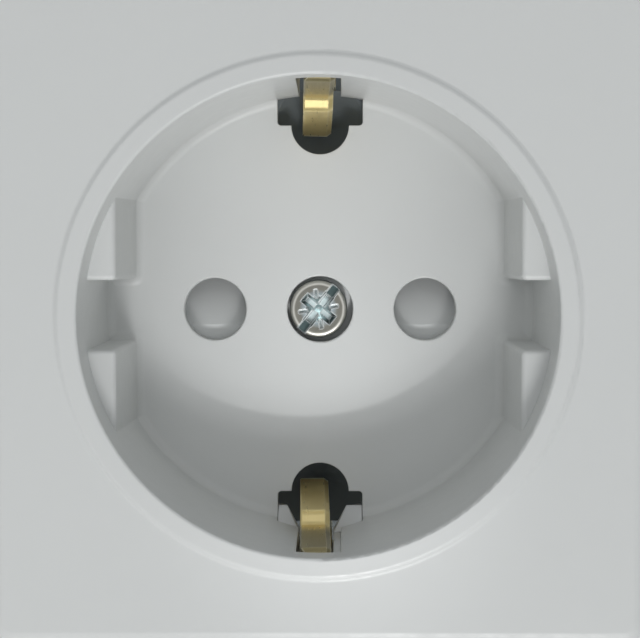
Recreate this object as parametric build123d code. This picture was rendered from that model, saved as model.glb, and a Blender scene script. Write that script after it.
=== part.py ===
from build123d import *
import math
import os

os.makedirs("parts", exist_ok=True)

# A wall socket insert, in millimetres: two pins with side earth contacts, 55 mm centre plate.
# X points right, Z up and -Y at the viewer. Y = 0 is the wall face, on the back of the support
# ring, and the origin is midway between the two box screws.

# Fits and clearances
slide_gap = 0.3
guide_gap = 0.15
touch_gap = 0.1

# Small rounds and driver slots
small_edge_r = 0.5
end_chamfer = 0.4
driver_w = 0.8
driver_deep = 0.7

# Centre plate and its collar
front_y = -11.0
plate_size = 55.0
plate_corner_r = 2.4
plate_edge_r = 1.6
plate_t = 2.0
skirt_t = 1.6
skirt_depth = 6.2
rib_t = 1.0
collar_w = 1.55
collar_h = 0.2
collar_slope = 0.35
collar_edge_r = 0.45
mouth_edge_r = 0.25

# Well
mouth_r = 19.75
floor_r = 19.3
well_depth = 17.5
well_wall = 1.5
floor_t = 1.8
crease_r = 0.8

# Guide shoulders, two each side with a channel between them
shoulder_drop = 4.2
shoulder_top_x = 17.0
shoulder_foot_x = 16.6
shoulder_edge_r = 0.4
channel_top_half = 2.94
channel_foot_half = 2.8

# Pins and the holes in the floor
pin_pitch = 19.0
pin_hole_r = 2.81
pin_hole_edge_r = 0.15

# Centre screw, M3 cheese head
screw_r = 1.45
screw_length = 15.6
screw_head_r = 2.62
screw_head_h = 2.0
screw_head_edge_r = 0.36
screw_sunk = 0.4
screw_hole_r = 2.98
screw_side = -0.15
boss_r = 4.2
slot_turn = 51.0
slot_w = 0.85
slot_deep = 0.75
cross_r = 1.7
cross_w = 1.0
cross_deep = 1.0
cross_draft = 15.0
cone_r = 1.15
cone_deep = 1.5
tick_turn = 9.0
tick_inner_r = 1.0
tick_r = 1.8
tick_w = 0.3
tick_deep = 0.25

# Earth openings, one above and one below the pins
opening_z = 16.58
opening_r = 2.6
ear_half = 3.85
ear_corner_r = 0.35
finger_slot_half = 1.88
finger_slot_drop = 2.5
slot_sunk = 0.45
pocket_sunk = 2.0
pocket_wall = 1.3
foot_cut_depth = 15.4
foot_cut_rise = 1.7
foot_cut_sunk = 0.85
foot_cut_r = 0.6

# Earth clip, one bent brass strip
strip_t = 0.8
strip_w = 2.6
strip_edge_r = 0.15
strip_bevel_w = 0.4
strip_bevel_h = 0.3
strip_side = -0.06
clip_turn = 0.44
finger_lean = 0.38
root_corner_r = 0.8
bar_w = 7.0
leg_gap = 0.2
hairpin_r = 0.44
foot_bend_r = 1.0
ramp_bend_r = 1.0
knee_bend_r = 0.55
finger_top_gap = 0.25
ramp_depth = 10.9
ramp_in = 0.85
knee_depth = 11.6
knee_in = 1.95
tip_depth = 20.0
tip_in = 3.7

# Shutter, which slides down, and its springs
shutter_t = 1.4
shutter_half = 13.6
shutter_top = 10.6
shutter_bottom = -7.0
shutter_travel = 5.9
crease_z = -1.5
ramp_top_z = 3.0
ramp_drop = 3.4
ramp_deep = 5.2
ramp_foot_z = -4.6
ramp_half = 3.1
window_half = 2.95
window_h = 5.9
web_top_z = -4.5
spring_x = 9.0
spring_coil_r = 1.15
spring_wire_r = 0.19
spring_turns = 8
spring_room_r = 1.6
spring_end_z = -17.0

# Shutter housing and its tongue under the lower earth opening
housing_half = 15.2
housing_top_wall = 1.2
housing_back_t = 1.1
housing_r = 20.8
middle_wall_t = 0.65
tongue_t = 1.2
tongue_end = 21.9
tongue_ledge_r = 17.9
tongue_mouth_half = 4.3
tongue_undercut = 0.6
pad_sunk = 0.35
pad_gap = 0.05
notch_side = -0.3
notch_wide_half = 2.75
notch_wide_z = 17.8
notch_end_half = 1.55
notch_end_z = 20.0
notch_draft = 6.0

# Base
base_r = 28.3
base_half_x = 22.5
base_leg_gap = 0.4
base_depth = 10.8
front_wall = 1.4
tower_half = 6.0
tower_inner_z = 14.1
upper_tower_rise = 6.6
lower_tower_rise = 5.2
tower_mouth_r = 4.1
tower_well_deep = 4.4
lug_rise = 3.0
lug_depth = 8.0
pillar_x = 19.6
pillar_z = 16.4
pillar_r = 2.6
claw_bay_room = 2.0
claw_bay_half = 5.5

# Pin contacts
contact_t = 0.6
contact_pinch = 2.3
contact_back = 2.95
contact_flare = 3.2
contact_w = 5.2
pinch_deep = 3.4
pinch_to_back = 3.0
leaf_bend_r = 1.5
contact_web_t = 0.7
contact_room_half = 4.0
contact_back_gap = 0.4

# Terminals, two wires to a pole
terminal_half = 5.55
terminal_low = -18.4
terminal_high = -7.4
link_front = 5.2
link_h = 2.4
blade_deep = 7.0
blade_end_gap = 0.8
foot_half = 3.0
foot_top_gap = 0.5
wire_r = 2.0
wire_side = 2.9
wire_z = -14.7
clamp_t = 0.35
clamp_w = 4.4
clamp_leg_gap = 1.4
clamp_loop_gap = 0.6
clamp_loop_w = 2.6
clamp_reach = 3.4
clamp_tip_gap = 0.15
clamp_bend_r = 0.8
key_z = -9.3
key_half_x = 3.5
key_half_z = 1.35
key_flange_half = 4.7
key_flange_t = 1.2
key_foot_z = -13.2
key_foot_h = 0.9
key_foot_t = 1.2
key_foot_in = 0.9
key_foot_out = 3.2
key_proud = 0.9

# Rear cover
cover_t = 1.6
block_h = 5.0
block_half = 20.3
block_top_z = -5.6
entry_chamfer = 0.6
rear_screw_x = 17.4
rear_screw_z = 12.4
rear_screw_r = 1.2
rear_head_r = 2.3
rear_head_h = 1.3
rear_screw_length = 8.0

# Clamp nut and earth rivet
nut_side = 5.5
nut_t = 2.4
nut_pocket_half = 2.85
rivet_z = -9.6
rivet_r = 1.2
rivet_head_r = 2.0
rivet_head_t = 0.6

# Support ring
ring_margin = 5.5
ring_cut = 8.0
ring_t = 1.2
ring_hole_r = 23.3
box_pitch = 60.0
box_slot_w = 3.6
box_slot_length = 5.2
arc_slot_sweep = 16.0
ring_rivet_r = 1.25
ring_rivet_head_r = 2.2
ring_rivet_head_t = 0.9
ring_rivet_length = 8.0

# Claws
claw_t = 1.1
claw_half = 3.6
claw_head_room = 1.4
claw_reach = 5.15
claw_length = 19.0
tooth_out = 0.6
tooth_h = 1.3
claw_screw_in = 2.75
claw_screw_r = 1.5
claw_screw_length = 25.0
claw_head_r = 2.6
claw_head_h = 1.8
claw_head_gap = 1.1
claw_notch_half = 1.8

# Levels worked out from the sizes above
plate_y = front_y + collar_h
floor_y = front_y + well_depth
floor_back = floor_y + floor_t
pin_x = pin_pitch / 2
collar_r = mouth_r + collar_w
ring_size = box_pitch + 2 * ring_margin
pocket_r = floor_r + pocket_sunk
leg_r = pocket_r - leg_gap - strip_t / 2
leg_shift = leg_r * math.sin(math.radians(clip_turn))
finger_top = finger_slot_drop + finger_top_gap
finger_r = leg_r - 2 * hairpin_r - 0.02
base_half_z = leg_r - strip_t / 2 - base_leg_gap
shutter_y = floor_back + 2 * touch_gap
ramp_back = shutter_y + ramp_deep
housing_back = ramp_back + slide_gap + housing_back_t
base_front = housing_back + touch_gap
bar_back = base_front + strip_t
chamber_front = bar_back + front_wall
base_back = base_front + base_depth
block_back = base_back + block_h
seat_y = floor_y + screw_sunk + screw_head_h
slider_low = shutter_bottom - shutter_travel
claw_screw_x = floor_r + well_wall + claw_head_r + claw_head_room
claw_out_x = claw_screw_x + claw_screw_in
claw_in_x = claw_out_x - claw_reach
claw_bay_x = claw_in_x - claw_bay_room
flange_y = base_back - touch_gap - key_flange_t
terminal_x = pin_x + contact_w / 2 + contact_web_t / 2
terminals = (-terminal_x, 0.0, terminal_x)


def facing(y):
    """The plane across the object at depth y, looking at the viewer."""
    return Plane(origin=(0, y, 0), x_dir=(1, 0, 0), z_dir=(0, -1, 0))


def slab(sketch, y_front, y_back):
    """A sketch drawn as the viewer sees it, made solid between two depths."""
    return extrude(facing(y_back) * sketch, amount=y_back - y_front)


def disc(r, y_front, y_back, x=0.0, z=0.0):
    """A round bar along Y."""
    return slab(Pos(x, z) * Circle(r), y_front, y_back)


def block(x0, x1, y0, y1, z0, z1):
    """A box given by its faces."""
    centre = Pos((x0 + x1) / 2, (y0 + y1) / 2, (z0 + z1) / 2)
    return centre * Box(x1 - x0, y1 - y0, z1 - z0)


def side_prism(points, half_width, x=0.0):
    """An outline in Y and Z, made solid across X."""
    outline = make_face(Polyline(*points, close=True))
    return Pos(x, 0, 0) * extrude(Plane.YZ * outline, amount=half_width, both=True)


def turned(points):
    """An outline in radius and Y, turned about the well's axis."""
    return revolve(make_face(Polyline(*points, close=True)), Axis.Y)


def both_sides(part):
    """A piece and its mirror image across the middle plane X = 0."""
    return part + mirror(part, Plane.YZ)


def at_end(edges, y):
    """The edges that lie at depth y."""
    return edges.filter_by_position(Axis.Y, y - 0.01, y + 0.01)


def well_radius(y):
    """The tapered wall's radius at depth y."""
    return mouth_r + (floor_r - mouth_r) * (y - front_y) / well_depth


def well_space():
    """The air inside the well."""
    above = front_y - 2.0
    return turned(((0, above), (well_radius(above), above), (floor_r, floor_y), (0, floor_y)))


def shoulder():
    """The upper guide shoulder on the right, with rounded edges."""
    top_y = front_y + shoulder_drop
    reach = mouth_r + 0.6 * well_wall
    chord = make_face(
        Polyline(
            (shoulder_top_x, top_y),
            (reach, top_y),
            (reach, floor_y),
            (shoulder_foot_x, floor_y),
            close=True,
        )
    )
    body = extrude(chord, amount=reach)
    body &= disc(reach, top_y, floor_y)
    body -= side_prism(
        ((top_y, -1.0), (top_y, channel_top_half), (floor_y, channel_foot_half), (floor_y, -1.0)),
        2 * reach,
    )
    top = at_end(body.edges(), top_y).filter_by(GeomType.LINE)
    corner = body.edges().filter_by(GeomType.LINE).sort_by_distance(
        (shoulder_top_x, (top_y + floor_y) / 2, channel_top_half)
    )[0]
    return fillet(top + [corner], shoulder_edge_r)


def earth_opening():
    """The upper earth opening as the viewer sees it: a round hole with ears and a slot."""
    ears = Pos(0, opening_z + ear_half) * Rectangle(2 * ear_half, 2 * ear_half)
    ears &= Circle(floor_r + touch_gap)
    ears = fillet(ears.vertices().group_by(Axis.Y)[0], ear_corner_r)
    return ears + Pos(0, opening_z) * Circle(opening_r)


def upper_pocket():
    """The upper slot in the wall, for the finger and its leg."""
    front = front_y + finger_slot_drop
    half = finger_slot_half
    return block(-half, half, front, floor_back + 1.0, opening_z, pocket_r)


def lower_pocket():
    """The lower slot in the wall, less deep beside the leg on the right."""
    front = front_y + finger_slot_drop
    back = floor_back + 1.0
    half = finger_slot_half
    leg_right = strip_side - leg_shift + strip_w / 2 + guide_gap
    slot = block(-half, half, front, back, -floor_r - slot_sunk, -opening_z)
    return slot + block(-half, leg_right, front, back, -pocket_r, -opening_z)


def foot_cut():
    """The notch at the wall's foot below the lower earth opening, as deep as the tongue's pad."""
    side_y = front_y + foot_cut_depth
    middle_y = side_y - foot_cut_rise
    back = floor_back + 1.0
    outline = make_face(
        Polyline(
            (-ear_half, back),
            (-ear_half, side_y),
            (-finger_slot_half, middle_y),
            (finger_slot_half, middle_y),
            (ear_half, side_y),
            (ear_half, back),
            close=True,
        )
    )
    upper = [corner for corner in outline.vertices() if abs(corner.Y - side_y) < 0.01]
    outline = fillet(upper, foot_cut_r)
    cut = Pos(0, 0, -floor_r - 1.0) * extrude(outline, amount=floor_r - opening_z)
    return cut & disc(floor_r + foot_cut_sunk, middle_y - 1.0, back)


def cover_plate():
    """Centre plate, collar and well, moulded as one."""
    plate_back = plate_y + plate_t
    skirt_back = plate_y + skirt_depth
    outline = RectangleRounded(plate_size, plate_size, plate_corner_r)
    plate = slab(outline, plate_y, skirt_back)
    plate = fillet(at_end(plate.edges(), plate_y), plate_edge_r)
    inner = plate_size - 2 * skirt_t
    plate -= slab(RectangleRounded(inner, inner, plate_corner_r - 1.0), plate_back, skirt_back)
    root_r = collar_r + collar_slope
    collar = turned(
        ((0, front_y), (collar_r, front_y), (root_r, plate_y), (root_r, plate_back), (0, plate_back))
    )
    wall_front = mouth_r + well_wall
    wall_foot = floor_r + well_wall
    cup = turned(((0, plate_y), (wall_front, plate_y), (wall_foot, floor_back), (0, floor_back)))
    rib_end = inner / 2 * math.sqrt(2) - plate_corner_r
    for turn in (45, 135, 225, 315):
        rib = block(wall_foot, rib_end, plate_back, skirt_back - 1.0, -rib_t / 2, rib_t / 2)
        plate += Rot(0, turn, 0) * rib
    body = plate + collar + cup
    slopes = body.edges().filter_by(GeomType.CIRCLE)
    slopes = slopes.filter_by(lambda edge: edge.radius in (collar_r, root_r))
    body = fillet(at_end(slopes, front_y) + at_end(slopes, plate_y), collar_edge_r)
    bulge_half = finger_slot_half + pocket_wall
    bulge_r = pocket_r + pocket_wall
    bulge = block(-bulge_half, bulge_half, plate_back, floor_back, opening_z, bulge_r)
    body += bulge + mirror(bulge, Plane.XY)
    body += disc(boss_r, floor_y, housing_back)
    body -= well_space()
    body = fillet(
        at_end(body.edges(), front_y).filter_by(GeomType.CIRCLE).sort_by(SortBy.RADIUS)[0],
        mouth_edge_r,
    )
    upper = shoulder()
    right = upper + mirror(upper, Plane.XY)
    body += both_sides(right)
    body = fillet(at_end(body.edges(), floor_y), crease_r)
    opening = slab(earth_opening(), floor_y - crease_r - 0.1, floor_back + 1.0)
    body -= opening + mirror(opening, Plane.XY)
    body -= upper_pocket() + lower_pocket() + foot_cut()
    body -= both_sides(disc(pin_hole_r, floor_y - 1.0, floor_back + 1.0, pin_x))
    body -= disc(screw_hole_r, floor_y - 1.0, seat_y)
    body -= disc(screw_r + 0.25, seat_y - 1.0, housing_back + 1.0)
    rims = at_end(body.edges(), floor_y).filter_by(GeomType.CIRCLE)
    rims = rims.filter_by(lambda rim: rim.radius in (pin_hole_r, screw_hole_r))
    return fillet(rims, pin_hole_edge_r)


def recess_bar(length, width, deep, turn, y_top, start=0.0):
    """One straight groove of the screw's drive, turned about the screw's axis."""
    groove = block(start, start + length, y_top - 1.0, y_top + deep, -width / 2, width / 2)
    return Rot(0, -turn, 0) * groove


def centre_screw():
    """Cheese head with a slot right across and a cross recess with four ticks."""
    top = seat_y - screw_head_h
    head = disc(screw_head_r, top, seat_y)
    head = fillet(at_end(head.edges(), top), screw_head_edge_r)
    for turn in (slot_turn, slot_turn + 180):
        head -= recess_bar(screw_head_r + 1.0, slot_w, slot_deep, turn, top)
    cross = Rectangle(2 * cross_r, cross_w) + Rectangle(cross_w, 2 * cross_r)
    cross = facing(top) * (Rot(0, 0, slot_turn) * cross)
    head -= extrude(cross, amount=-cross_deep, taper=cross_draft)
    cone = Cone(cone_r, 0, cone_deep)
    head -= Pos(0, top + cone_deep / 2, 0) * Rot(-90, 0, 0) * cone
    for quarter in range(4):
        turn = tick_turn + 90 * quarter
        length = tick_r - tick_inner_r
        head -= recess_bar(length, tick_w, tick_deep, turn, top, tick_inner_r)
    shank = disc(screw_r, seat_y - 0.5, seat_y + screw_length)
    shank = chamfer(at_end(shank.edges(), seat_y + screw_length), end_chamfer)
    return Pos(screw_side, 0, 0) * (head + shank)


def shutter():
    """Slider with a ramp behind each pin hole and a window above each ramp."""
    width = 2 * shutter_half
    height = shutter_top - shutter_bottom
    middle = (shutter_top + shutter_bottom) / 2
    outline = Pos(0, middle) * RectangleRounded(width, height, 1.0)
    plate = slab(outline, shutter_y, shutter_y + shutter_t)
    boss_half = boss_r + slide_gap
    plate -= block(
        -boss_half, boss_half, shutter_y - 1, ramp_back, web_top_z, shutter_top + 1.0
    )
    window_top = ramp_top_z + window_h
    window = block(
        pin_x - window_half,
        pin_x + window_half,
        shutter_y - 1,
        ramp_back,
        crease_z,
        window_top,
    )
    plate -= both_sides(window)
    ramp = side_prism(
        (
            (shutter_y, ramp_foot_z),
            (shutter_y, crease_z),
            (shutter_y + ramp_drop, ramp_top_z),
            (ramp_back, ramp_top_z),
            (ramp_back, ramp_foot_z),
        ),
        ramp_half,
        pin_x,
    )
    return plate + both_sides(ramp)


def shutter_springs():
    """Two coil springs between the slider and the lower end of the housing."""
    low = spring_end_z + touch_gap + spring_wire_r
    high = shutter_bottom - touch_gap - spring_wire_r
    pitch = (high - low) / spring_turns
    axis_y = shutter_y + spring_room_r + touch_gap
    coil = Helix(pitch=pitch, height=high - low, radius=spring_coil_r)
    section = Plane(origin=coil @ 0, z_dir=coil % 0) * Circle(spring_wire_r)
    spring = Pos(spring_x, axis_y, low) * sweep(section, path=coil, is_frenet=True)
    return both_sides(spring)


def shutter_housing():
    """Tray behind the floor that guides the slider, with a tongue round the lower opening."""
    top = shutter_top + slide_gap + housing_top_wall
    low = spring_end_z - housing_top_wall
    outline = Pos(0, (top + low) / 2) * Rectangle(2 * housing_half, top - low)
    tray = slab(outline & Circle(housing_r), floor_back, housing_back)
    room_half = shutter_half + slide_gap
    room_low = slider_low - slide_gap
    room_back = ramp_back + slide_gap
    tray -= block(
        -room_half, room_half, floor_back, room_back, room_low, shutter_top + slide_gap
    )
    spring_room = block(
        spring_x - spring_room_r,
        spring_x + spring_room_r,
        shutter_y,
        shutter_y + 2 * spring_room_r + 2 * touch_gap,
        spring_end_z,
        room_low,
    )
    tray -= both_sides(spring_room)
    tower_room = tower_half + slide_gap
    wall_low = room_low - middle_wall_t
    tray -= block(-tower_room, tower_room, floor_back, housing_back, low - 1.0, wall_low)
    tray -= disc(boss_r + guide_gap, room_back - 1.0, housing_back + 1.0)
    tray -= both_sides(disc(pin_hole_r + 0.1, room_back - 1.0, housing_back + 1.0, pin_x))
    tray -= disc(rivet_head_r + slide_gap, room_back - 1.0, housing_back + 1.0, 0, rivet_z)
    return tray + tongue(wall_low)


def tongue(wall_low):
    """Tongue with a slanted pad that closes the outer corners of the lower earth opening."""
    root = -wall_low - 0.5
    width = tower_half + slide_gap + 0.5
    sheet = Pos(0, -(root + tongue_end) / 2) * Rectangle(2 * width, tongue_end - root)
    sheet &= Circle(tongue_end)
    sheet -= Pos(0, -opening_z) * Circle(opening_r + slide_gap)
    mouth = Pos(0, -opening_z - 1.0) * Rectangle(2 * tongue_mouth_half, 3.0)
    sheet -= mouth & Circle(tongue_ledge_r + tongue_undercut)
    notch = make_face(
        Polyline(
            (notch_side - notch_wide_half, -tongue_ledge_r + 1.0),
            (notch_side - notch_wide_half, -notch_wide_z),
            (notch_side - notch_end_half, -notch_end_z),
            (notch_side - notch_end_half, -tongue_end - 1.0),
            (notch_side + notch_end_half, -tongue_end - 1.0),
            (notch_side + notch_end_half, -notch_end_z),
            (notch_side + notch_wide_half, -notch_wide_z),
            (notch_side + notch_wide_half, -tongue_ledge_r + 1.0),
            close=True,
        )
    )
    back = floor_back + tongue_t
    pad_r = floor_r + foot_cut_sunk - pad_gap
    pad_front = front_y + foot_cut_depth + pad_gap
    ledge_y = floor_y + pad_sunk
    pad = side_prism(
        (
            (back, -tongue_ledge_r - tongue_undercut),
            (ledge_y, -tongue_ledge_r),
            (pad_front, -pad_r),
            (pad_front, -pad_r - 1.0),
            (back, -pad_r - 1.0),
        ),
        ear_half - pad_gap,
    )
    pad &= disc(pad_r, pad_front, back)
    cut = slab(notch, pad_front - 1.0, ledge_y)
    cut += extrude(facing(ledge_y) * notch, amount=ledge_y - back - 1.0, taper=-notch_draft)
    return slab(sheet, floor_back, back) + pad - cut


def base_outline():
    """The base's outline as the viewer sees it, with a bay for a claw on each side."""
    outline = Circle(base_r) & Rectangle(2 * base_half_x, 2 * base_half_z)
    bay = Rectangle(2 * (base_half_x - claw_bay_x), 2 * claw_bay_half)
    return outline - Pos(base_half_x, 0) * bay - Pos(-base_half_x, 0) * bay


def corners():
    """The four pillar centres."""
    return [(x, z) for x in (-pillar_x, pillar_x) for z in (-pillar_z, pillar_z)]


def tower(rise):
    """A tower on the upper side, which stands behind the end of an earth finger."""
    tower_y = base_front - rise
    body = block(
        -tower_half, tower_half, tower_y, base_front + 1.0, tower_inner_z, base_half_z
    )
    well = Pos(0, tower_y + tower_well_deep / 2, opening_z) * Rot(-90, 0, 0)
    return body - well * Cone(tower_mouth_r, 0, tower_well_deep)


def base():
    """Insulating base with chambers for contacts and terminals, open at the back."""
    body = slab(base_outline(), base_front, base_back)
    for x, z in corners():
        body += disc(pillar_r, 0, base_front + 1.0, x, z)
    body += tower(upper_tower_rise) + mirror(tower(lower_tower_rise), Plane.XY)
    lug = block(
        -tower_half,
        tower_half,
        bar_back,
        bar_back + lug_depth,
        base_half_z - 1.0,
        base_half_z + lug_rise,
    )
    body += lug + mirror(lug, Plane.XY)
    for x, z in corners():
        body -= disc(ring_rivet_r, -1.0, ring_rivet_length - ring_t, x, z)
    groove_half = bar_w / 2 + guide_gap
    body -= Rot(0, clip_turn, 0) * block(
        strip_side - groove_half,
        strip_side + groove_half,
        base_front - upper_tower_rise - 1.0,
        bar_back,
        -tower_inner_z,
        tower_inner_z,
    )
    leg_half = strip_w / 2 + guide_gap
    body -= Rot(0, clip_turn, 0) * block(
        strip_side - leg_half,
        strip_side + leg_half,
        base_front - touch_gap,
        bar_back,
        -base_half_z - 1.0,
        base_half_z + 1.0,
    )
    contact_room = block(
        pin_x - contact_room_half,
        pin_x + contact_room_half,
        chamber_front,
        base_back + 1.0,
        -contact_room_half,
        contact_room_half,
    )
    pin_hole = disc(pin_hole_r + 0.1, base_front - 1.0, chamber_front + 1.0, pin_x)
    body -= both_sides(contact_room + pin_hole)
    for x in terminals:
        body -= block(
            x - terminal_half,
            x + terminal_half,
            chamber_front,
            base_back + 1.0,
            terminal_low,
            terminal_high,
        )
    link_half = contact_web_t / 2 + touch_gap
    link = block(
        terminal_x - link_half,
        terminal_x + link_half,
        base_back - link_front - link_h / 2,
        base_back + 1.0,
        terminal_high - 1.0,
        -contact_room_half + 1.0,
    )
    body -= both_sides(link)
    body -= block(
        -nut_pocket_half,
        nut_pocket_half,
        chamber_front,
        base_back + 1.0,
        -nut_pocket_half,
        nut_pocket_half,
    )
    body -= disc(screw_r + 0.4, base_front - 1.0, chamber_front + 1.0)
    body -= disc(rivet_r, base_front - 1.0, chamber_front + 1.0, 0, rivet_z)
    for x in (-rear_screw_x, rear_screw_x):
        hole_deep = rear_screw_length - cover_t
        body -= disc(rear_screw_r, base_back - hole_deep, base_back + 1.0, x, rear_screw_z)
    return body


def strip_section():
    """The strip's section: small rounds, and a wider bevel where the punch broke through."""
    side = strip_w / 2
    face = strip_t / 2
    outline = make_face(
        Polyline(
            (-side, -face),
            (side, -face),
            (side, face - strip_bevel_h),
            (side - strip_bevel_w, face),
            (-side, face),
            close=True,
        )
    )
    corners = [corner for corner in outline.vertices() if corner.X < 0 or corner.Y < 0]
    return fillet(corners, strip_edge_r)


def lean(depth):
    """How far the finger stands to the left of its root at a depth in the well."""
    return finger_lean * (depth - finger_top) / (tip_depth - finger_top)


def root_corners():
    """What is cut off the strip's two front corners to round them."""
    front = front_y + finger_top
    side = strip_w / 2
    square = Pos(side, front) * Rectangle(2 * root_corner_r, 2 * root_corner_r)
    round_end = Pos(side - root_corner_r, front + root_corner_r) * Circle(root_corner_r)
    cut = extrude(square - round_end, amount=pocket_r)
    return Pos(strip_side, 0, 0) * both_sides(cut)


def finger_strip():
    """Half of the earth clip's strip: bar, leg, hairpin and the finger down to its tip."""
    bar_y = base_front + strip_t / 2
    hairpin_y = front_y + finger_top + strip_t / 2
    path = FilletPolyline(
        (strip_side, bar_y, 0),
        (strip_side, bar_y, leg_r),
        (strip_side, hairpin_y, leg_r),
        (strip_side, hairpin_y, finger_r),
        (strip_side - lean(ramp_depth), front_y + ramp_depth, finger_r - ramp_in),
        (strip_side - lean(knee_depth), front_y + knee_depth, finger_r - knee_in),
        (strip_side - finger_lean, front_y + tip_depth, finger_r - tip_in),
        radius=[foot_bend_r, hairpin_r, hairpin_r - 0.02, ramp_bend_r, knee_bend_r],
    )
    start = Plane(origin=path @ 0, x_dir=(1, 0, 0), z_dir=path % 0)
    return sweep(start * strip_section(), path=path) - root_corners()


def earth_clip():
    """One brass strip: a crossbar on the base and two sprung fingers."""
    finger = finger_strip()
    bar_half = bar_w / 2
    wide = block(
        strip_side - bar_half,
        strip_side + bar_half,
        base_front,
        bar_back,
        -tower_inner_z + guide_gap,
        tower_inner_z - guide_gap,
    )
    body = Rot(0, clip_turn, 0) * (wide + finger + mirror(finger, Plane.XY))
    body -= disc(screw_r + 0.25, base_front - 1.0, bar_back + 1.0)
    return body - disc(rivet_r, base_front - 1.0, bar_back + 1.0, 0, rivet_z)


def clamp_nut():
    """Square nut in the base, which the centre screw pulls on."""
    front = chamber_front
    half = nut_side / 2
    nut = block(-half, half, front, front + nut_t, -half, half)
    return nut - disc(screw_r, front - 1.0, front + nut_t + 1.0, screw_side)


def leaf_path(sign):
    """The line of one sprung contact leaf, flared at the front and pinched in the middle."""
    front = chamber_front + 2 * touch_gap
    back = base_back - contact_back_gap
    middle = front + pinch_deep
    return FilletPolyline(
        (0, front, sign * contact_flare),
        (0, middle, sign * (contact_pinch + contact_t / 2)),
        (0, middle + pinch_to_back, sign * contact_back),
        (0, back, sign * contact_back),
        radius=leaf_bend_r,
    )


def contact(side):
    """Pin contact of one pole: two leaves joined by a web that runs on as the busbar."""
    back = base_back - contact_back_gap
    body = None
    for sign in (1, -1):
        path = leaf_path(sign)
        start = Plane(origin=path @ 0, x_dir=(1, 0, 0), z_dir=path % 0)
        leaf = sweep(start * Rectangle(contact_w, contact_t), path=path)
        body = leaf if body is None else body + leaf
    body = Pos(pin_x, 0, 0) * body
    web_in = terminal_x - contact_web_t / 2
    web_out = terminal_x + contact_web_t / 2
    web_half = contact_back + contact_t / 2
    link_y = back - link_front
    blade_top = key_foot_z - slide_gap
    body += block(web_in, web_out, link_y, back, -web_half, web_half)
    body += block(web_in, web_out, link_y, link_y + link_h, blade_top, 0)
    body += block(web_in, web_out, back - blade_deep, back, terminal_low + blade_end_gap, blade_top)
    return body if side > 0 else mirror(body, Plane.YZ)


def earth_terminal():
    """Busbar of the earth terminal: a foot on the base's wall and a blade between the wires."""
    foot_back = chamber_front + contact_web_t
    foot = block(
        -foot_half,
        foot_half,
        chamber_front,
        foot_back,
        terminal_low + blade_end_gap,
        terminal_high - foot_top_gap,
    )
    half = contact_web_t / 2
    blade = block(
        -half,
        half,
        chamber_front,
        base_back - contact_back_gap,
        terminal_low + blade_end_gap,
        key_foot_z - slide_gap,
    )
    return foot + blade - disc(rivet_r, chamber_front - 1.0, foot_back + 1.0, 0, rivet_z)


def earth_rivet():
    """Rivet through the earth clip, the base's wall and the earth terminal's foot."""
    foot_back = chamber_front + contact_web_t
    shank = disc(rivet_r, base_front - touch_gap, foot_back + touch_gap, 0, rivet_z)
    head = disc(rivet_head_r, base_front - rivet_head_t, base_front, 0, rivet_z)
    head = fillet(at_end(head.edges(), base_front - rivet_head_t), rivet_head_t - 0.2)
    tail = disc(rivet_head_r, foot_back, foot_back + rivet_head_t, 0, rivet_z)
    return shank + head + tail


def clamp_spring(x):
    """One wire clamp: a looped leaf whose free end presses the wire on the busbar."""
    wall_x = terminal_half - clamp_t / 2 - touch_gap
    loop_y = chamber_front + contact_web_t + clamp_loop_gap
    tip_x = contact_web_t / 2 + clamp_t + clamp_tip_gap
    path = FilletPolyline(
        (wall_x, base_back - clamp_leg_gap, 0),
        (wall_x, loop_y, 0),
        (wall_x - clamp_loop_w, loop_y, 0),
        (tip_x, loop_y + clamp_reach, 0),
        radius=clamp_bend_r,
    )
    start = Plane(origin=path @ 0, x_dir=(0, 0, 1), z_dir=path % 0)
    spring = sweep(start * Rectangle(clamp_w, clamp_t), path=path)
    return Pos(x, 0, wire_z) * spring


def clamp_springs(x):
    """The two wire clamps of one pole, mirrored about its busbar."""
    right = clamp_spring(0)
    return Pos(x, 0, 0) * (right + mirror(right, Plane.YZ))


def release_key(x):
    """Key of one pole, pressed in from the back to open its clamps."""
    end = block_back + key_proud
    stem = block(
        x - key_half_x,
        x + key_half_x,
        flange_y,
        end,
        key_z - key_half_z,
        key_z + key_half_z,
    )
    stem = fillet(at_end(stem.edges(), end), small_edge_r)
    flange = block(
        x - key_flange_half,
        x + key_flange_half,
        flange_y,
        flange_y + key_flange_t,
        key_foot_z,
        key_z + key_half_z,
    )
    key = stem + flange
    for side in (-1, 1):
        inner = x + side * key_foot_in
        outer = x + side * key_foot_out
        foot_y = flange_y - key_foot_h
        foot_top = key_foot_z + key_foot_t
        left, right = sorted((inner, outer))
        key += block(left, right, foot_y, flange_y, key_foot_z, foot_top)
    return key


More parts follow.
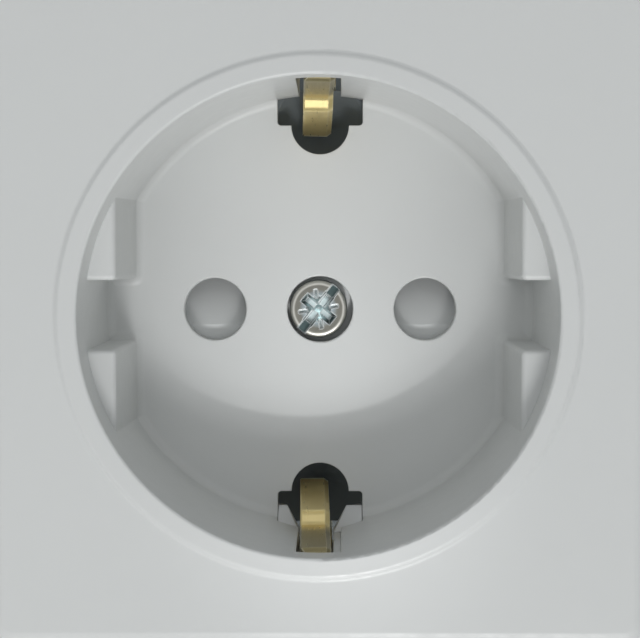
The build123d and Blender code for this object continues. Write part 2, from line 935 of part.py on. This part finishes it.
def rear_cover():
    """Back cap with a raised terminal block, wire entries and guides for the keys."""
    body = slab(base_outline(), base_back, base_back + cover_t)
    body = fillet(at_end(body.edges(), base_back + cover_t), small_edge_r)
    raised = block(
        -block_half, block_half, base_back, block_back, -base_half_z, block_top_z
    )
    raised &= slab(Circle(base_r - 1.0), base_back, block_back)
    raised = fillet(at_end(raised.edges(), block_back), small_edge_r)
    body += raised
    for x in terminals:
        for side in (-wire_side, wire_side):
            body -= disc(wire_r, base_back - 1.0, block_back + 1.0, x + side, wire_z)
            rim = Cone(wire_r, wire_r + entry_chamfer, entry_chamfer)
            place = Pos(x + side, block_back - entry_chamfer / 2, wire_z)
            body -= place * Rot(-90, 0, 0) * rim
        body -= block(
            x - key_half_x - guide_gap,
            x + key_half_x + guide_gap,
            base_back - 1.0,
            block_back + 1.0,
            key_z - key_half_z - guide_gap,
            key_z + key_half_z + guide_gap,
        )
    for x in (-rear_screw_x, rear_screw_x):
        body -= disc(rear_screw_r + 0.2, base_back - 1.0, block_back, x, rear_screw_z)
    return body


def driver_slot(x, z, top, head_r, towards=1):
    """The straight slot in a screw head whose outer face is at depth top."""
    inner, outer = sorted((top - towards * driver_deep, top + towards))
    reach = head_r + 1.0
    return block(x - driver_w / 2, x + driver_w / 2, inner, outer, z - reach, z + reach)


def rear_cover_screws():
    """Two screws that hold the rear cover on the base."""
    seat = base_back + cover_t
    top = seat + rear_head_h
    screws = []
    for x in (-rear_screw_x, rear_screw_x):
        head = disc(rear_head_r, seat, top, x, rear_screw_z)
        head = fillet(at_end(head.edges(), top), small_edge_r)
        head -= driver_slot(x, rear_screw_z, top, rear_head_r)
        end = seat - rear_screw_length + slide_gap
        shank = disc(rear_screw_r, end, seat + touch_gap, x, rear_screw_z)
        screws.append(head + shank)
    return Compound(children=[solid for screw in screws for solid in screw.solids()])


def support_ring():
    """Steel ring with two box screw slots, two levelling slots and a notch for each claw."""
    outline = chamfer(Rectangle(ring_size, ring_size).vertices(), ring_cut)
    outline -= Circle(ring_hole_r)
    for side in (-1, 1):
        outline -= Pos(side * box_pitch / 2, 0) * SlotOverall(box_slot_length, box_slot_w)
        notch_end = claw_screw_x + claw_screw_r + guide_gap
        middle = (ring_hole_r - 1.0 + notch_end) / 2
        length = notch_end - ring_hole_r + 1.0
        outline -= Pos(side * middle, 0) * Rectangle(length, 2 * claw_notch_half)
        start = side * 90 - arc_slot_sweep / 2
        arc = CenterArc((0, 0), box_pitch / 2, start, arc_slot_sweep)
        outline -= SlotArc(arc, box_slot_w)
    for x, z in corners():
        outline -= Pos(x, z) * Circle(ring_rivet_r)
    return slab(outline, -ring_t, 0)


def ring_rivets():
    """Four rivets through the ring into the base's pillars."""
    rivets = []
    for x, z in corners():
        top = -ring_t - ring_rivet_head_t
        head = disc(ring_rivet_head_r, top, -ring_t, x, z)
        head = fillet(at_end(head.edges(), top), small_edge_r)
        end = ring_rivet_length - ring_t - touch_gap
        shank = disc(ring_rivet_r, -ring_t - touch_gap, end, x, z)
        rivets.append(head + shank)
    return Compound(children=[solid for rivet in rivets for solid in rivet.solids()])


def claw(side):
    """Bent steel claw: a top flange under the ring, a leg, a threaded foot and two teeth."""
    top = slide_gap
    end = top + claw_length
    body = block(claw_in_x, claw_out_x, top, end, -claw_half, claw_half)
    body -= block(
        claw_in_x - 1.0,
        claw_out_x - claw_t,
        top + claw_t,
        end - claw_t,
        -claw_half - 1.0,
        claw_half + 1.0,
    )
    for tooth_end in (end, end - 2 * tooth_h):
        tooth = make_face(
            Polyline(
                (claw_out_x - 0.2, tooth_end),
                (claw_out_x - 0.2, tooth_end - tooth_h),
                (claw_out_x + tooth_out, tooth_end),
                close=True,
            )
        )
        body += Pos(0, 0, -claw_half) * extrude(tooth, amount=2 * claw_half)
    body -= disc(claw_screw_r + guide_gap, top - 1.0, top + claw_t + 1.0, claw_screw_x)
    body -= disc(claw_screw_r, end - claw_t - 1.0, end + 1.0, claw_screw_x)
    return body if side > 0 else mirror(body, Plane.YZ)


def claw_screw(side):
    """Slotted screw through the ring and the claw, threaded into the claw's foot."""
    seat = -ring_t - claw_head_gap
    top = seat - claw_head_h
    head = disc(claw_head_r, top, seat, claw_screw_x)
    head = fillet(at_end(head.edges(), top), small_edge_r)
    head -= driver_slot(claw_screw_x, 0, top, claw_head_r, -1)
    end = seat + claw_screw_length
    shank = disc(claw_screw_r, seat - touch_gap, end, claw_screw_x)
    body = head + chamfer(at_end(shank.edges(), end), end_chamfer)
    return body if side > 0 else mirror(body, Plane.YZ)


pieces = {
    "cover_plate": cover_plate(),
    "centre_screw": centre_screw(),
    "shutter": shutter(),
    "shutter_springs": shutter_springs(),
    "shutter_housing": shutter_housing(),
    "base": base(),
    "earth_clip": earth_clip(),
    "clamp_nut": clamp_nut(),
    "contact_live": contact(-1),
    "contact_neutral": contact(1),
    "earth_terminal": earth_terminal(),
    "earth_rivet": earth_rivet(),
    "live_clamp_springs": clamp_springs(-terminal_x),
    "neutral_clamp_springs": clamp_springs(terminal_x),
    "earth_clamp_springs": clamp_springs(0),
    "live_release_key": release_key(-terminal_x),
    "neutral_release_key": release_key(terminal_x),
    "earth_release_key": release_key(0),
    "rear_cover": rear_cover(),
    "rear_cover_screws": rear_cover_screws(),
    "support_ring": support_ring(),
    "ring_rivets": ring_rivets(),
    "claw_left": claw(-1),
    "claw_right": claw(1),
    "claw_screw_left": claw_screw(-1),
    "claw_screw_right": claw_screw(1),
}

for name, piece in pieces.items():
    export_step(piece, "parts/" + name + ".step")
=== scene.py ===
import math

import bpy
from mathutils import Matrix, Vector


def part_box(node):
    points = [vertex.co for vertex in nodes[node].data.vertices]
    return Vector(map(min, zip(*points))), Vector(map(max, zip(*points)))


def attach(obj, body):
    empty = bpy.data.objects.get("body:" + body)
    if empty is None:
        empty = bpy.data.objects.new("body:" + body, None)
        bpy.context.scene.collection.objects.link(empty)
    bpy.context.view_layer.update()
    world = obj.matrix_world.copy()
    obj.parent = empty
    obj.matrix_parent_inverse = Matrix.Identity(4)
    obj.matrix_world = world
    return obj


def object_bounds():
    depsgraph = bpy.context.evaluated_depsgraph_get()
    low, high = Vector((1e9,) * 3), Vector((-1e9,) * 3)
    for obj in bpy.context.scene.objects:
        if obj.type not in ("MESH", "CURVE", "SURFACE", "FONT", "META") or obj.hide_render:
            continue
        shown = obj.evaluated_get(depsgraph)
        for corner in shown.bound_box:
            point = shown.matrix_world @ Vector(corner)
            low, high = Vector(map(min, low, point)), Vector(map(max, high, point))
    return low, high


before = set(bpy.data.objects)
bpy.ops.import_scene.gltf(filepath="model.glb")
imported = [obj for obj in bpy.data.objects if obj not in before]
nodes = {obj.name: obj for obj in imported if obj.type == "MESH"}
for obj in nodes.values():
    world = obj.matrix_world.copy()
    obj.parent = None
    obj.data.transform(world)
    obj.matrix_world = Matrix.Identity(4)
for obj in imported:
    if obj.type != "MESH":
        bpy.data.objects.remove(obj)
cad_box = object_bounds()

MM = 0.001

# Places on the object, in millimetres
FRONT_Y = -11.0
SCREW_X = -0.15
REAR_COVER_T = 1.6

# Rolled thread of the claw screws, in millimetres
SHANK_R = 1.5
THREAD_PITCH = 0.5
THREAD_TALL = 0.13
THREAD_SUNK = 0.01
THREAD_START = 3.4
THREAD_END = 0.7
# Half the width of the thread's ridge, as a share of its pitch
THREAD_HALF = 0.36
THREAD_STEPS = 24

# Round ejector marks on the rear cover, in millimetres
MARK_R = 1.6
MARK_TALL = 0.12
MARK_DRAFT = 0.08
MARK_RIM = 0.25
MARK_ROWS = (2.5, 15.5)
MARK_COLUMNS = (-10.0, 0.0, 10.0)
# Height of a mark's middle, as a share of its rim's height
MARK_DISH = 0.4
MARK_STEPS = 32

# Camera, from the photograph: it looks nearly straight into the well, a little from above
CAMERA_PLACE = Vector((1.62, -164.5, 6.84)) * MM
CAMERA_AIM = Vector((0.157, -11.0, -0.109)) * MM
LENS_MM = 106.2
SENSOR_MM = 36.0
CLIP_START = 0.01

# Key lamp, in front and below: its distance in metres and its angle below the level
KEY_ASIDE = 0.05
KEY_FAR = 0.60
KEY_TILT = math.radians(31.0)
KEY_PLACE = (KEY_ASIDE, -KEY_FAR * math.cos(KEY_TILT), -KEY_FAR * math.sin(KEY_TILT))

# Round lamps: name, place in metres, diameter in metres, power in watts
FRONT_LAMPS = (
    ("key", KEY_PLACE, 0.16, 0.94),
    ("front", (0.0, -0.80, 0.06), 0.70, 0.66),
    ("low", (0.0, -0.29, -0.53), 0.17, 0.62),
    ("high", (0.0, -0.33, 0.50), 0.24, 0.08),
)
BACK_LAMPS = (
    ("back_left", (-0.45, 0.55, 0.45), 0.35, 3.0),
    ("back_right", (0.55, 0.40, 0.15), 0.35, 1.4),
)

# Spot on the middle of the well's floor, in metres and watts; it stands on the way to the key
GLOW_SHARE = 0.9
GLOW_AIM = Vector((0.0, 0.0065, -0.003))
GLOW_WIDTH = math.radians(2.8)
GLOW_R = 0.008
GLOW_POWER = 3.1

WORLD_COLOUR = (0.94, 0.98, 1.0, 1.0)
WORLD_STRENGTH = 0.325
WHITE = (1.0, 1.0, 1.0, 1.0)

# Floor, in metres
FLOOR_HALF = 1.2
FLOOR_GAP = 0.0002
FLOOR_PALE = (0.80, 0.80, 0.79, 1.0)
FLOOR_ROUGHNESS = 0.7

# Colours, as linear values
COVER_GREY = (0.715, 0.727, 0.721)
SHUTTER_GREY = (0.78, 0.795, 0.79)
HOUSING_GREY = (0.76, 0.775, 0.79)
BASE_BLACK = (0.19, 0.215, 0.228)
REAR_GREY = (0.11, 0.115, 0.12)
KEY_WHITE = (0.62, 0.60, 0.54)
ZINC = (0.66, 0.69, 0.71)
ZINC_BLUE = (0.50, 0.62, 0.70)
STEEL = (0.56, 0.56, 0.55)
RING_ZINC = (0.60, 0.62, 0.64)
CLAW_ZINC = (0.62, 0.58, 0.47)
BRASS = (0.93, 0.77, 0.38)
BRASS_STAIN = (0.82, 0.66, 0.31)
# Painted shade on the roots of the earth clip's fingers
BRASS_ROOT_SHADE = (0.34, 0.295, 0.165)
# Painted highlight on the earth clip's edges and tips
BRASS_HIGHLIGHT = (0.95, 0.89, 0.68)
# Screw head: a painted reflection on the rim; a painted dark reflection on the ring inside it, which
# the zinc's darker patches share; painted shade deep in the recess; a painted reflection in its middle;
# painted highlights on its edges
HEAD_RIM = (0.64, 0.63, 0.58)
HEAD_PATCH_AND_DARK_REFLECTION = (0.22, 0.215, 0.19)
HEAD_DEEP = (0.085, 0.12, 0.122)
HEAD_WELL = (0.60, 0.70, 0.71)
HEAD_EDGE = (0.86, 0.90, 0.90)
BRONZE = (0.74, 0.48, 0.26)
BRONZE_DARK = (0.50, 0.29, 0.15)

# Radii of rounded edges and of the painted highlights along them, in millimetres
PLASTIC_EDGE_R = 0.15
METAL_EDGE_R = 0.10
CLIP_EDGE_R = 0.14
CLIP_HIGHLIGHT_R = 0.26
HEAD_EDGE_R = 0.12
HEAD_HIGHLIGHT_R = 0.24

# Depths behind the well's rim over which the painted shade on the fingers' roots fades out, and then
# the painted highlight at the tips comes in
CLIP_ROOT_DEPTHS = (8.5, 10.9)
CLIP_TIP_DEPTHS = (19.55, 19.75)

# Radii and depths over which the screw head's colours change: its painted reflections on the ring, the
# rim and the recess's middle, and painted shade deep in the recess
HEAD_CENTRE_RADII = (1.3, 1.75)
HEAD_RIM_RADII = (2.12, 2.26)
HEAD_WELL_RADII = (1.0, 1.45)
HEAD_DEEP_DEPTHS = (18.0, 18.2)
HEAD_WELL_DEPTHS = (18.0, 18.3)


class Look:
    """A material and its node tree, with short calls that add and join nodes."""

    def __init__(self, name):
        self.material = bpy.data.materials.new(name)
        self.material.use_nodes = True
        self.tree = self.material.node_tree
        self.shader = self.tree.nodes["Principled BSDF"]
        place = self.tree.nodes.new("ShaderNodeTexCoord")
        self.place = place.outputs["Object"]

    def add(self, kind, **settings):
        node = self.tree.nodes.new(kind)
        for key, value in settings.items():
            if key in node.inputs:
                node.inputs[key].default_value = value
            else:
                setattr(node, key, value)
        return node

    def join(self, start, end):
        self.tree.links.new(start, end)

    def fix(self, name, value):
        """Sets an input of the material's shader to a value."""
        self.shader.inputs[name].default_value = value

    def feed(self, name, socket):
        """Joins a socket to an input of the material's shader."""
        self.join(socket, self.shader.inputs[name])

    def stretched(self, scale):
        """The object's coordinates in millimetres, stretched by three factors."""
        mapping = self.add("ShaderNodeMapping")
        mapping.inputs["Scale"].default_value = [factor / MM for factor in scale]
        self.join(self.place, mapping.inputs["Vector"])
        return mapping.outputs["Vector"]

    def noise(self, scale, detail=3.0, rough=0.55):
        """Noise with that many waves to a millimetre along X, Y and Z."""
        texture = self.add("ShaderNodeTexNoise", Scale=1.0, Detail=detail, Roughness=rough)
        self.join(self.stretched(scale), texture.inputs["Vector"])
        return texture.outputs["Fac"]

    def ramp(self, factor, low, high, start=0.3, end=0.7):
        """A value from low to high as the factor goes from start to end."""
        span = self.add("ShaderNodeMapRange")
        span.inputs["From Min"].default_value = start
        span.inputs["From Max"].default_value = end
        span.inputs["To Min"].default_value = low
        span.inputs["To Max"].default_value = high
        self.join(factor, span.inputs["Value"])
        return span.outputs["Result"]

    def combine(self, operation, first, second):
        """The product or another operation of two value sockets."""
        node = self.add("ShaderNodeMath", operation=operation)
        self.join(first, node.inputs[0])
        self.join(second, node.inputs[1])
        return node.outputs["Value"]

    def mix(self, factor, low, high):
        """A blend of two colours."""
        node = self.add("ShaderNodeMix", data_type="RGBA")
        node.inputs["A"].default_value = (*low, 1.0)
        node.inputs["B"].default_value = (*high, 1.0)
        self.join(factor, node.inputs["Factor"])
        return node.outputs["Result"]

    def blend(self, factor, low, high):
        """A blend of a colour socket and a colour."""
        node = self.add("ShaderNodeMix", data_type="RGBA")
        self.join(low, node.inputs["A"])
        node.inputs["B"].default_value = (*high, 1.0)
        self.join(factor, node.inputs["Factor"])
        return node.outputs["Result"]

    def depth(self):
        """The depth behind the rim of the well, in millimetres."""
        split = self.add("ShaderNodeSeparateXYZ")
        self.join(self.stretched((1.0, 1.0, 1.0)), split.inputs["Vector"])
        deeper = self.add("ShaderNodeMath", operation="SUBTRACT")
        deeper.inputs[1].default_value = FRONT_Y
        self.join(split.outputs["Y"], deeper.inputs[0])
        return deeper.outputs["Value"]

    def radius(self, x):
        """The distance from an axis along Y at that x, in millimetres."""
        offset = self.add("ShaderNodeVectorMath", operation="SUBTRACT")
        offset.inputs[1].default_value = (x, 0.0, 0.0)
        self.join(self.stretched((1.0, 0.0, 1.0)), offset.inputs[0])
        length = self.add("ShaderNodeVectorMath", operation="LENGTH")
        self.join(offset.outputs["Vector"], length.inputs[0])
        return length.outputs["Value"]

    def rounded(self, radius_mm):
        """The surface's normal, with its edges rounded off to that radius."""
        return self.add("ShaderNodeBevel", samples=6, Radius=radius_mm * MM).outputs["Normal"]

    def edges(self, radius_mm):
        """One on edges, over about that width, and zero on flat faces."""
        plain = self.add("ShaderNodeNewGeometry").outputs["Normal"]
        turn = self.add("ShaderNodeVectorMath", operation="DOT_PRODUCT")
        self.join(plain, turn.inputs[0])
        self.join(self.rounded(radius_mm), turn.inputs[1])
        return self.ramp(turn.outputs["Value"], 1.0, 0.0, 0.82, 0.99)

    def bump(self, height, depth_mm, edge_r):
        """Bumps of that depth on a surface whose edges are rounded to that radius."""
        bump = self.add("ShaderNodeBump", Strength=1.0, Distance=depth_mm * MM)
        self.join(height, bump.inputs["Height"])
        self.join(self.rounded(edge_r), bump.inputs["Normal"])
        self.feed("Normal", bump.outputs["Normal"])


def plastic(name, colour, roughness, spread=0.03, grain=5.0, depth=0.004):
    """Moulded plastic: slight cloudiness, a fine moulded surface and a varied gloss."""
    look = Look(name)
    cloud = look.noise((0.06, 0.06, 0.06), detail=2.0)
    dark = [channel * (1 - spread) for channel in colour]
    light = [channel * (1 + spread) for channel in colour]
    look.feed("Base Color", look.mix(cloud, dark, light))
    gloss = look.noise((0.8, 0.8, 0.8), detail=4.0)
    look.feed("Roughness", look.ramp(gloss, roughness - 0.05, roughness + 0.05))
    look.bump(look.noise((grain, grain, grain), detail=2.0), depth, PLASTIC_EDGE_R)
    look.fix("IOR", 1.5)
    return look.material


def metal(name, colour, stain, roughness, scale=(1.0, 1.0, 1.0), depth=0.003, spots=0.12):
    """Metal with rolling or plating marks that run the long way of the scale's low factor."""
    look = Look(name)
    look.fix("Metallic", 1.0)
    patches = look.noise((spots, spots, spots), detail=4.0, rough=0.6)
    look.feed("Base Color", look.mix(patches, stain, colour))
    marks = look.noise(scale, detail=5.0, rough=0.65)
    look.feed("Roughness", look.ramp(marks, roughness - 0.08, roughness + 0.10))
    look.bump(marks, depth, METAL_EDGE_R)
    return look.material


def clip_brass():
    """Rolled brass, with painted shade along the root of each finger and painted highlights on its
    edges and at the tips.
    """
    look = Look("brass")
    depth = look.depth()
    patches = look.noise((0.3, 0.3, 0.3), detail=4.0, rough=0.6)
    # Painted shade on each finger's root, fading out with depth
    root_shade = look.ramp(depth, 1.0, 0.0, *CLIP_ROOT_DEPTHS)
    # Painted highlights along the clip's rounded edges
    edge_highlight = look.ramp(look.edges(CLIP_HIGHLIGHT_R), 0.0, 0.75, 0.1, 0.8)
    # Painted highlight at each finger's tip
    tip = look.ramp(depth, 0.0, 0.8, *CLIP_TIP_DEPTHS)
    bright = look.combine("MAXIMUM", edge_highlight, tip)
    colour = look.mix(patches, BRASS_STAIN, BRASS)
    colour = look.blend(root_shade, colour, BRASS_ROOT_SHADE)
    colour = look.blend(bright, colour, BRASS_HIGHLIGHT)
    look.feed("Base Color", colour)
    look.feed("Metallic", look.ramp(bright, 0.82, 0.35, 0.0, 1.0))
    lines = look.noise((5.0, 0.5, 0.5), detail=2.0, rough=0.5)
    look.feed("Roughness", look.ramp(lines, 0.27, 0.36))
    look.bump(lines, 0.0006, CLIP_EDGE_R)
    return look.material


def screw_zinc():
    """Blue zinc on the centre screw, with a painted reflection on the pale rim, a painted dark
    reflection on the ring inside it, painted shade deep in the recesses, a painted lighter reflection
    in the recess's middle, and painted highlights on the edges.
    """
    look = Look("screw")
    depth = look.depth()
    radius = look.radius(SCREW_X)
    patches = look.noise((1.6, 1.6, 1.6), detail=4.0, rough=0.65)
    # The recess's middle, where a lighter painted reflection goes
    well = look.combine(
        "MULTIPLY",
        look.ramp(depth, 0.0, 1.0, *HEAD_WELL_DEPTHS),
        look.ramp(radius, 1.0, 0.0, *HEAD_WELL_RADII),
    )
    # Painted highlights along the head's rounded edges
    bright = look.ramp(look.edges(HEAD_HIGHLIGHT_R), 0.0, 0.95, 0.05, 0.45)
    colour = look.mix(patches, ZINC_BLUE, HEAD_PATCH_AND_DARK_REFLECTION)
    # Painted dark reflection on the ring between the head's middle and its rim
    colour = look.blend(look.ramp(radius, 0.0, 1.0, *HEAD_CENTRE_RADII), colour, HEAD_PATCH_AND_DARK_REFLECTION)
    # Painted reflection, pale, on the rim
    colour = look.blend(look.ramp(radius, 0.0, 1.0, *HEAD_RIM_RADII), colour, HEAD_RIM)
    # Painted shade deep in the recess
    colour = look.blend(look.ramp(depth, 0.0, 1.0, *HEAD_DEEP_DEPTHS), colour, HEAD_DEEP)
    # Painted reflection, lighter, in the recess's middle
    colour = look.blend(well, colour, HEAD_WELL)
    colour = look.blend(bright, colour, HEAD_EDGE)
    look.feed("Base Color", colour)
    look.feed("Metallic", look.ramp(bright, 0.95, 0.25, 0.0, 1.0))
    look.feed("Roughness", look.ramp(patches, 0.26, 0.42))
    look.bump(patches, 0.004, HEAD_EDGE_R)
    return look.material


def dress(material, slot, *names):
    """Gives CAD nodes a material; the slot is not used."""
    for name in names:
        piece = nodes[name]
        piece.data.materials.clear()
        piece.data.materials.append(material)


def dress_nodes():
    """The materials of all CAD nodes."""
    cover = plastic("cover", COVER_GREY, 0.36, spread=0.012, grain=4.0, depth=0.003)
    dress(cover, "cover_plastic", "cover_plate")
    dress(plastic("shutter", SHUTTER_GREY, 0.42), "shutter_plastic", "shutter")
    dress(plastic("housing", HOUSING_GREY, 0.42), "housing_plastic", "shutter_housing")
    base = plastic("base", BASE_BLACK, 0.45, spread=0.10, grain=6.0, depth=0.008)
    dress(base, "base_plastic", "base")
    rear = plastic("rear", REAR_GREY, 0.48, spread=0.08, grain=5.0, depth=0.008)
    dress(rear, "rear_plastic", "rear_cover")
    mark_back(rear)
    keys = [name for name in nodes if name.endswith("_release_key")]
    dress(plastic("key", KEY_WHITE, 0.38), "key_plastic", *keys)
    zinc = metal("zinc", ZINC, ZINC_BLUE, 0.27, scale=(1.2, 1.2, 1.2), depth=0.002, spots=0.9)
    dress(screw_zinc(), "zinc_screw", "centre_screw")
    dress(zinc, "zinc_screw", "clamp_nut", "rear_cover_screws")
    for side in ("left", "right"):
        dress(zinc, "zinc_screw", "claw_screw_" + side)
        thread(side, zinc)
    springs = [name for name in nodes if name.endswith("_springs")]
    dress(metal("spring", STEEL, STEEL, 0.30), "spring_steel", *springs)
    dress(clip_brass(), "brass_strip", "earth_clip")
    bronze = metal("bronze", BRONZE, BRONZE_DARK, 0.36)
    dress(bronze, "contact_metal", "contact_live", "contact_neutral", "earth_terminal")
    rivet = metal("rivet", STEEL, STEEL, 0.36)
    dress(rivet, "rivet_metal", "earth_rivet", "ring_rivets")
    ring = metal("ring", RING_ZINC, STEEL, 0.38, scale=(0.5, 3.0, 3.0), spots=0.08)
    dress(ring, "ring_steel", "support_ring")
    claws = metal("claw", CLAW_ZINC, STEEL, 0.37, scale=(2.0, 0.6, 2.0), depth=0.004, spots=0.2)
    dress(claws, "claw_steel", "claw_left", "claw_right")


def add_piece(name, points_mm, faces, material, body):
    """A shown mesh, given in millimetres, that rides on a CAD body."""
    mesh = bpy.data.meshes.new(name)
    mesh.from_pydata([Vector(point) * MM for point in points_mm], [], faces)
    mesh.materials.append(material)
    piece = bpy.data.objects.new(name, mesh)
    bpy.context.scene.collection.objects.link(piece)
    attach(piece, body)


def thread(side, material):
    """The rolled thread along a claw screw's shank."""
    low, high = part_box("claw_screw_" + side)
    axis_x = (low[0] + high[0]) / 2 / MM
    start = low[1] / MM + THREAD_START
    turns = (high[1] / MM - THREAD_END - start) / THREAD_PITCH
    steps = int(turns * THREAD_STEPS)
    ridge = ((-THREAD_HALF, 0.0), (0.0, THREAD_TALL), (THREAD_HALF, 0.0))
    points = []
    faces = []
    for step in range(steps + 1):
        angle = 2 * math.pi * step / THREAD_STEPS
        y = start + THREAD_PITCH * step / THREAD_STEPS
        for shift, reach in ridge:
            r = SHANK_R - THREAD_SUNK + reach
            point = (axis_x + r * math.cos(angle), y + shift * THREAD_PITCH, r * math.sin(angle))
            points.append(point)
        if step:
            last = len(ridge) * step
            faces.append((last - 3, last - 2, last + 1, last))
            faces.append((last - 2, last - 1, last + 2, last + 1))
    add_piece("claw_thread_" + side, points, faces, material, "claw_" + side)


def moulded_disc(name, x, z, y, material):
    """The round mark that an ejector pin leaves on a moulded back face."""
    circles = (
        (0.0, MARK_R + MARK_DRAFT),
        (MARK_TALL, MARK_R),
        (MARK_TALL, MARK_R - MARK_RIM),
    )
    count = MARK_STEPS
    points = []
    for level, r in circles:
        for step in range(count):
            angle = 2 * math.pi * step / count
            points.append((x + r * math.cos(angle), y + level, z + r * math.sin(angle)))
    points.append((x, y + MARK_DISH * MARK_TALL, z))
    faces = []
    for step in range(count):
        after = (step + 1) % count
        for circle in (0, count):
            faces.append((circle + step, circle + after, circle + count + after, circle + count + step))
        faces.append((2 * count + step, 2 * count + after, 3 * count))
    add_piece(name, points, faces, material, "root")


def mark_back(rear):
    """Ejector marks on the rear cover's flat upper part."""
    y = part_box("base")[1][1] / MM + REAR_COVER_T
    for row, z in enumerate(MARK_ROWS):
        for column, x in enumerate(MARK_COLUMNS):
            moulded_disc("rear_mark_%d_%d" % (row, column), x, z, y, rear)


def aim(thing, place, target):
    """Stands a lamp or camera at a place, looking at a target."""
    thing.location = place
    thing.rotation_euler = (target - place).to_track_quat("-Z", "Y").to_euler()


def hang(light, place, target):
    """Puts a light into the scene at a place, looking at a target."""
    thing = bpy.data.objects.new(light.name, light)
    bpy.context.scene.collection.objects.link(thing)
    aim(thing, place, target)


def lamp(name, place, size, power):
    """A round soft lamp that looks at the middle of the object's front."""
    light = bpy.data.lights.new(name, "AREA")
    light.shape = "DISK"
    light.size = size
    light.energy = power
    hang(light, Vector(place), Vector((0.0, 0.0, 0.0)))


def glow():
    """A soft round spot that brightens the middle of the well."""
    light = bpy.data.lights.new("glow", "SPOT")
    light.spot_size = GLOW_WIDTH
    light.spot_blend = 1.0
    light.shadow_soft_size = GLOW_R
    light.energy = GLOW_POWER
    hang(light, GLOW_SHARE * Vector(KEY_PLACE), GLOW_AIM)


def surround():
    """A pale world, plain white where the camera sees it."""
    world = bpy.data.worlds.new("world")
    world.use_nodes = True
    tree = world.node_tree
    around = tree.nodes["Background"]
    around.inputs["Color"].default_value = WORLD_COLOUR
    around.inputs["Strength"].default_value = WORLD_STRENGTH
    seen = tree.nodes.new("ShaderNodeBackground")
    seen.inputs["Color"].default_value = WHITE
    path = tree.nodes.new("ShaderNodeLightPath")
    either = tree.nodes.new("ShaderNodeMixShader")
    tree.links.new(path.outputs["Is Camera Ray"], either.inputs[0])
    tree.links.new(around.outputs[0], either.inputs[1])
    tree.links.new(seen.outputs[0], either.inputs[2])
    tree.links.new(either.outputs[0], tree.nodes["World Output"].inputs["Surface"])
    bpy.context.scene.world = world


def light_scene():
    """The photograph's soft key from front below, weak lamps for the back, and the world."""
    for settings in FRONT_LAMPS:
        lamp(*settings)
    glow()
    for settings in BACK_LAMPS:
        lamp(*settings)
    surround()


def lay_floor():
    """A plain pale floor under the ring's lower edge."""
    mesh = bpy.data.meshes.new("floor")
    level = cad_box[0][2] - FLOOR_GAP
    turns = ((-1, -1), (1, -1), (1, 1), (-1, 1))
    corners = [(FLOOR_HALF * x, FLOOR_HALF * y, level) for x, y in turns]
    mesh.from_pydata(corners, [], [(0, 1, 2, 3)])
    floor = bpy.data.objects.new("floor", mesh)
    bpy.context.scene.collection.objects.link(floor)
    look = Look("floor")
    look.fix("Base Color", FLOOR_PALE)
    look.fix("Roughness", FLOOR_ROUGHNESS)
    mesh.materials.append(look.material)
    floor.visible_shadow = False


def stand_camera():
    """The camera at the photograph's place."""
    camera = bpy.data.cameras.new("camera")
    camera.lens = LENS_MM
    camera.sensor_width = SENSOR_MM
    camera.sensor_fit = "HORIZONTAL"
    camera.clip_start = CLIP_START
    thing = bpy.data.objects.new("camera", camera)
    bpy.context.scene.collection.objects.link(thing)
    aim(thing, CAMERA_PLACE, CAMERA_AIM)
    bpy.context.scene.camera = thing


dress_nodes()
light_scene()
lay_floor()
stand_camera()
bpy.context.scene.view_settings.view_transform = "Standard"
